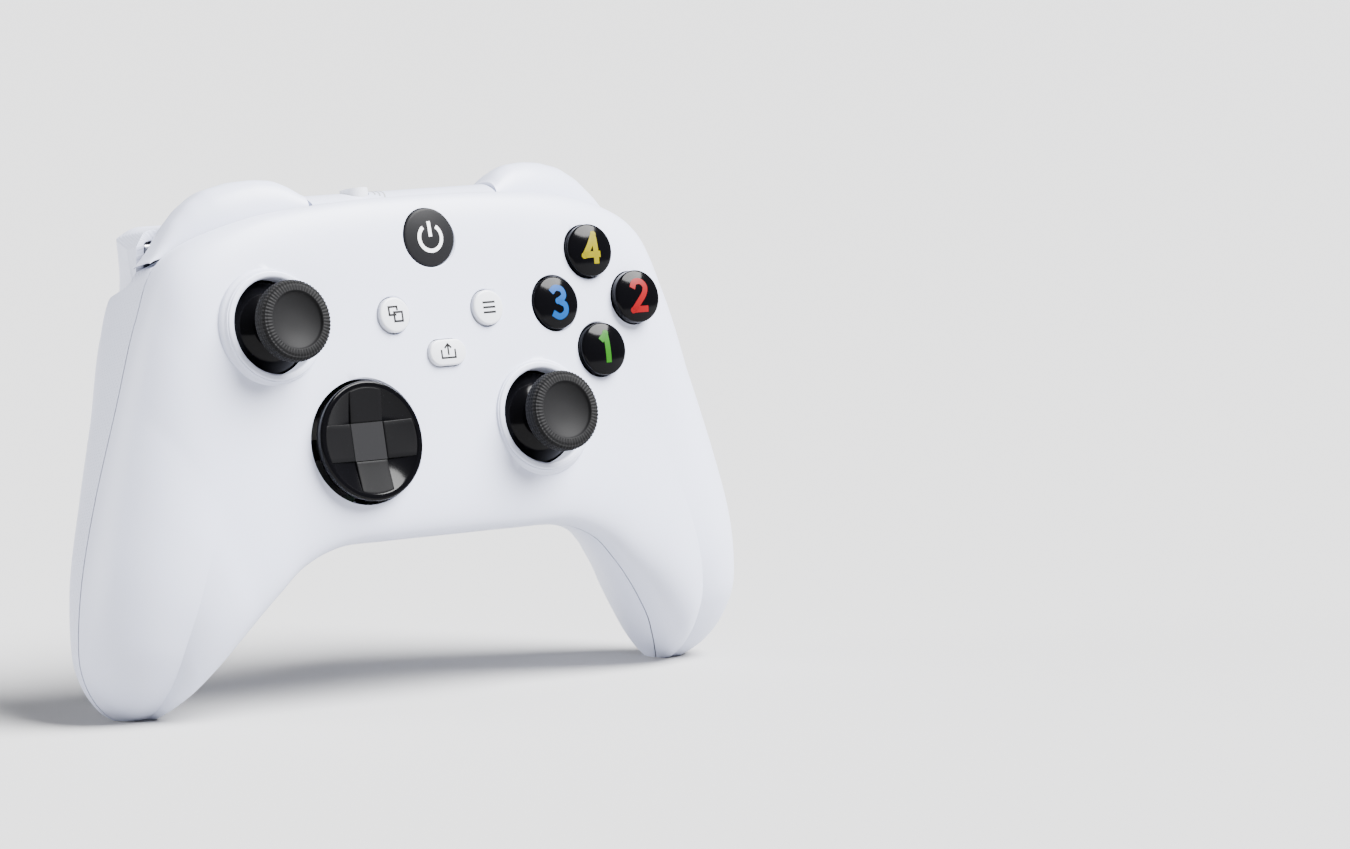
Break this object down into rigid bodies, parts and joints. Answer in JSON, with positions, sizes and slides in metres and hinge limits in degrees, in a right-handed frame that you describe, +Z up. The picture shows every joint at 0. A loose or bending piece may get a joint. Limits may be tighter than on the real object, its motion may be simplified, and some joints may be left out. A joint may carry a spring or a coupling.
{
  "type": "gamepad",
  "caption": "White wireless gamepad standing on its grips, with tilting sticks, a dished direction pad, face buttons, bumpers, pulling triggers and a battery cover.",
  "frame": {"origin": "middle of the box round the part, on the floor that the grip tips stand on", "axes": "+X to the right seen from the front, -Y out of the face, +Z up; the face leans back"},
  "size_m": [0.153, 0.0558, 0.1028],
  "materials": {
    "white_shell": "fine matte grain, dotted where it is held",
    "white_shoulder": "satin",
    "stick_rubber": "matte with a knurled edge",
    "gloss_black": "glossy",
    "white_button": "satin",
    "grey_guide": "satin",
    "silicone": "matte",
    "light_pipe": "milky",
    "board": "green lacquer",
    "inner_plastic": "matte",
    "steel": "plated",
    "cell_wrap": "shrink wrap"
  },
  "bodies": {
    "housing": {"front_shell": "white_shell", "rear_shell": "white_shell", "left_side_grip": "white_shell", "right_side_grip": "white_shell", "top_bridge": "white_shoulder", "bumper_carrier": "inner_plastic", "left_trigger_pin": "steel", "right_trigger_pin": "steel", "left_trigger_spring": "steel", "right_trigger_spring": "steel", "left_stick_housing": "steel", "right_stick_housing": "steel", "direction_pad_base": "inner_plastic", "button_pad": "silicone", "centre_button_pad": "silicone", "guide_light_pipe": "light_pipe", "main_board": "board", "lower_board": "board", "middle_frame": "inner_plastic", "left_rumble_motor": "steel", "right_rumble_motor": "steel", "left_trigger_motor": "steel", "right_trigger_motor": "steel", "usb_port": "steel", "headset_jack": "inner_plastic", "expansion_port": "inner_plastic", "cells": "cell_wrap", "battery_contacts": "steel", "board_screws": "steel"},
    "battery_lid": {"battery_cover": "white_shell"},
    "left_bumper_key": {"left_bumper": "white_shoulder"},
    "left_trigger_key": {"left_trigger": "white_shoulder"},
    "right_bumper_key": {"right_bumper": "white_shoulder"},
    "right_trigger_key": {"right_trigger": "white_shoulder"},
    "left_stick_tilt_ring": {"left_stick_yoke": "inner_plastic"},
    "left_stick_core": {"left_stick_pivot": "inner_plastic"},
    "left_stick": {"left_stick_post": "gloss_black", "left_stick_cap": "stick_rubber"},
    "right_stick_tilt_ring": {"right_stick_yoke": "inner_plastic"},
    "right_stick_core": {"right_stick_pivot": "inner_plastic"},
    "right_stick": {"right_stick_post": "gloss_black", "right_stick_cap": "stick_rubber"},
    "direction_pad_ring": {"direction_pad_gimbal": "inner_plastic"},
    "direction_pad_disc": {"direction_pad": "gloss_black"},
    "south_key": {"south_button": "gloss_black"},
    "east_key": {"east_button": "gloss_black"},
    "west_key": {"west_button": "gloss_black"},
    "north_key": {"north_button": "gloss_black"},
    "view_key": {"view_button": "white_button"},
    "menu_key": {"menu_button": "white_button"},
    "share_key": {"share_button": "white_button"},
    "guide_key": {"guide_button": "grey_guide"},
    "pair_key": {"pair_button": "white_button"},
    "left_rumble_spinner": {"left_rumble_weight": "steel"},
    "left_trigger_spinner": {"left_trigger_weight": "steel"},
    "right_rumble_spinner": {"right_rumble_weight": "steel"},
    "right_trigger_spinner": {"right_trigger_weight": "steel"}
  },
  "joints": [
    {"name": "battery_lid_lift", "type": "slide", "parent": "housing", "child": "battery_lid", "axis": [0, 0.9781, -0.2079], "range_m": [0, 0.014]},
    {"name": "left_bumper_press", "type": "hinge", "parent": "housing", "child": "left_bumper_key", "pos_m": [-0.0252, 0.00392, 0.09297], "axis": [0, -0.9781, 0.2079], "range_deg": [0, 0.65], "stiffness_Nm_per_rad": 2},
    {"name": "left_trigger_pull", "type": "hinge", "parent": "housing", "child": "left_trigger_key", "pos_m": [-0.046, 0.01401, 0.0899], "axis": [1, 0, 0], "range_deg": [-18, 0], "stiffness_Nm_per_rad": 0.3},
    {"name": "right_bumper_press", "type": "hinge", "parent": "housing", "child": "right_bumper_key", "pos_m": [0.0252, 0.00392, 0.09297], "axis": [0, -0.9781, 0.2079], "range_deg": [-0.65, 0], "stiffness_Nm_per_rad": 2},
    {"name": "right_trigger_pull", "type": "hinge", "parent": "housing", "child": "right_trigger_key", "pos_m": [0.046, 0.01401, 0.0899], "axis": [1, 0, 0], "range_deg": [-18, 0], "stiffness_Nm_per_rad": 0.3},
    {"name": "left_stick_up_down", "type": "hinge", "parent": "housing", "child": "left_stick_tilt_ring", "pos_m": [-0.038, -0.004, 0.07379], "axis": [1, 0, 0], "range_deg": [-15, 15], "stiffness_Nm_per_rad": 0.05},
    {"name": "left_stick_left_right", "type": "hinge", "parent": "left_stick_tilt_ring", "child": "left_stick_core", "pos_m": [-0.038, -0.004, 0.07379], "axis": [0, 0.2079, 0.9781], "range_deg": [-15, 15], "stiffness_Nm_per_rad": 0.05},
    {"name": "left_stick_click", "type": "slide", "parent": "left_stick_core", "child": "left_stick", "axis": [0, 0.9781, -0.2079], "range_m": [0, 0.0005], "stiffness_N_per_m": 800},
    {"name": "right_stick_up_down", "type": "hinge", "parent": "housing", "child": "right_stick_tilt_ring", "pos_m": [0.021, -0.00966, 0.0523], "axis": [1, 0, 0], "range_deg": [-15, 15], "stiffness_Nm_per_rad": 0.05},
    {"name": "right_stick_left_right", "type": "hinge", "parent": "right_stick_tilt_ring", "child": "right_stick_core", "pos_m": [0.021, -0.00966, 0.0523], "axis": [0, 0.2079, 0.9781], "range_deg": [-15, 15], "stiffness_Nm_per_rad": 0.05},
    {"name": "right_stick_click", "type": "slide", "parent": "right_stick_core", "child": "right_stick", "axis": [0, 0.9781, -0.2079], "range_m": [0, 0.0005], "stiffness_N_per_m": 800},
    {"name": "direction_pad_up_down", "type": "hinge", "parent": "housing", "child": "direction_pad_ring", "pos_m": [-0.021, -0.01416, 0.05131], "axis": [1, 0, 0], "range_deg": [-3.5, 3.5], "stiffness_Nm_per_rad": 0.2},
    {"name": "direction_pad_left_right", "type": "hinge", "parent": "direction_pad_ring", "child": "direction_pad_disc", "pos_m": [-0.021, -0.01416, 0.05131], "axis": [0, 0.2079, 0.9781], "range_deg": [-3.5, 3.5], "stiffness_Nm_per_rad": 0.2},
    {"name": "south_button_press", "type": "slide", "parent": "housing", "child": "south_key", "axis": [0, 0.9781, -0.2079], "range_m": [0, 0.0015], "stiffness_N_per_m": 300},
    {"name": "east_button_press", "type": "slide", "parent": "housing", "child": "east_key", "axis": [0, 0.9781, -0.2079], "range_m": [0, 0.0015], "stiffness_N_per_m": 300},
    {"name": "west_button_press", "type": "slide", "parent": "housing", "child": "west_key", "axis": [0, 0.9781, -0.2079], "range_m": [0, 0.0015], "stiffness_N_per_m": 300},
    {"name": "north_button_press", "type": "slide", "parent": "housing", "child": "north_key", "axis": [0, 0.9781, -0.2079], "range_m": [0, 0.0015], "stiffness_N_per_m": 300},
    {"name": "view_button_press", "type": "slide", "parent": "housing", "child": "view_key", "axis": [0, 0.9781, -0.2079], "range_m": [0, 0.0008], "stiffness_N_per_m": 300},
    {"name": "menu_button_press", "type": "slide", "parent": "housing", "child": "menu_key", "axis": [0, 0.9781, -0.2079], "range_m": [0, 0.0008], "stiffness_N_per_m": 300},
    {"name": "share_button_press", "type": "slide", "parent": "housing", "child": "share_key", "axis": [0, 0.9781, -0.2079], "range_m": [0, 0.0008], "stiffness_N_per_m": 300},
    {"name": "guide_button_press", "type": "slide", "parent": "housing", "child": "guide_key", "axis": [0, 0.9781, -0.2079], "range_m": [0, 0.0006], "stiffness_N_per_m": 300},
    {"name": "pair_button_press", "type": "slide", "parent": "housing", "child": "pair_key", "axis": [0, -0.2079, -0.9781], "range_m": [0, 0.0005], "stiffness_N_per_m": 300},
    {"name": "left_rumble_spin", "type": "hinge", "parent": "housing", "child": "left_rumble_spinner", "pos_m": [-0.055, 0.00226, 0.03464], "axis": [0, -0.9781, 0.2079], "continuous": true},
    {"name": "left_trigger_rumble_spin", "type": "hinge", "parent": "housing", "child": "left_trigger_spinner", "pos_m": [-0.0489, 0.00725, 0.05811], "axis": [1, 0, 0], "continuous": true},
    {"name": "right_rumble_spin", "type": "hinge", "parent": "housing", "child": "right_rumble_spinner", "pos_m": [0.055, 0.00226, 0.03464], "axis": [0, -0.9781, 0.2079], "continuous": true},
    {"name": "right_trigger_rumble_spin", "type": "hinge", "parent": "housing", "child": "right_trigger_spinner", "pos_m": [0.0489, 0.00725, 0.05811], "axis": [1, 0, 0], "continuous": true}
  ]
}
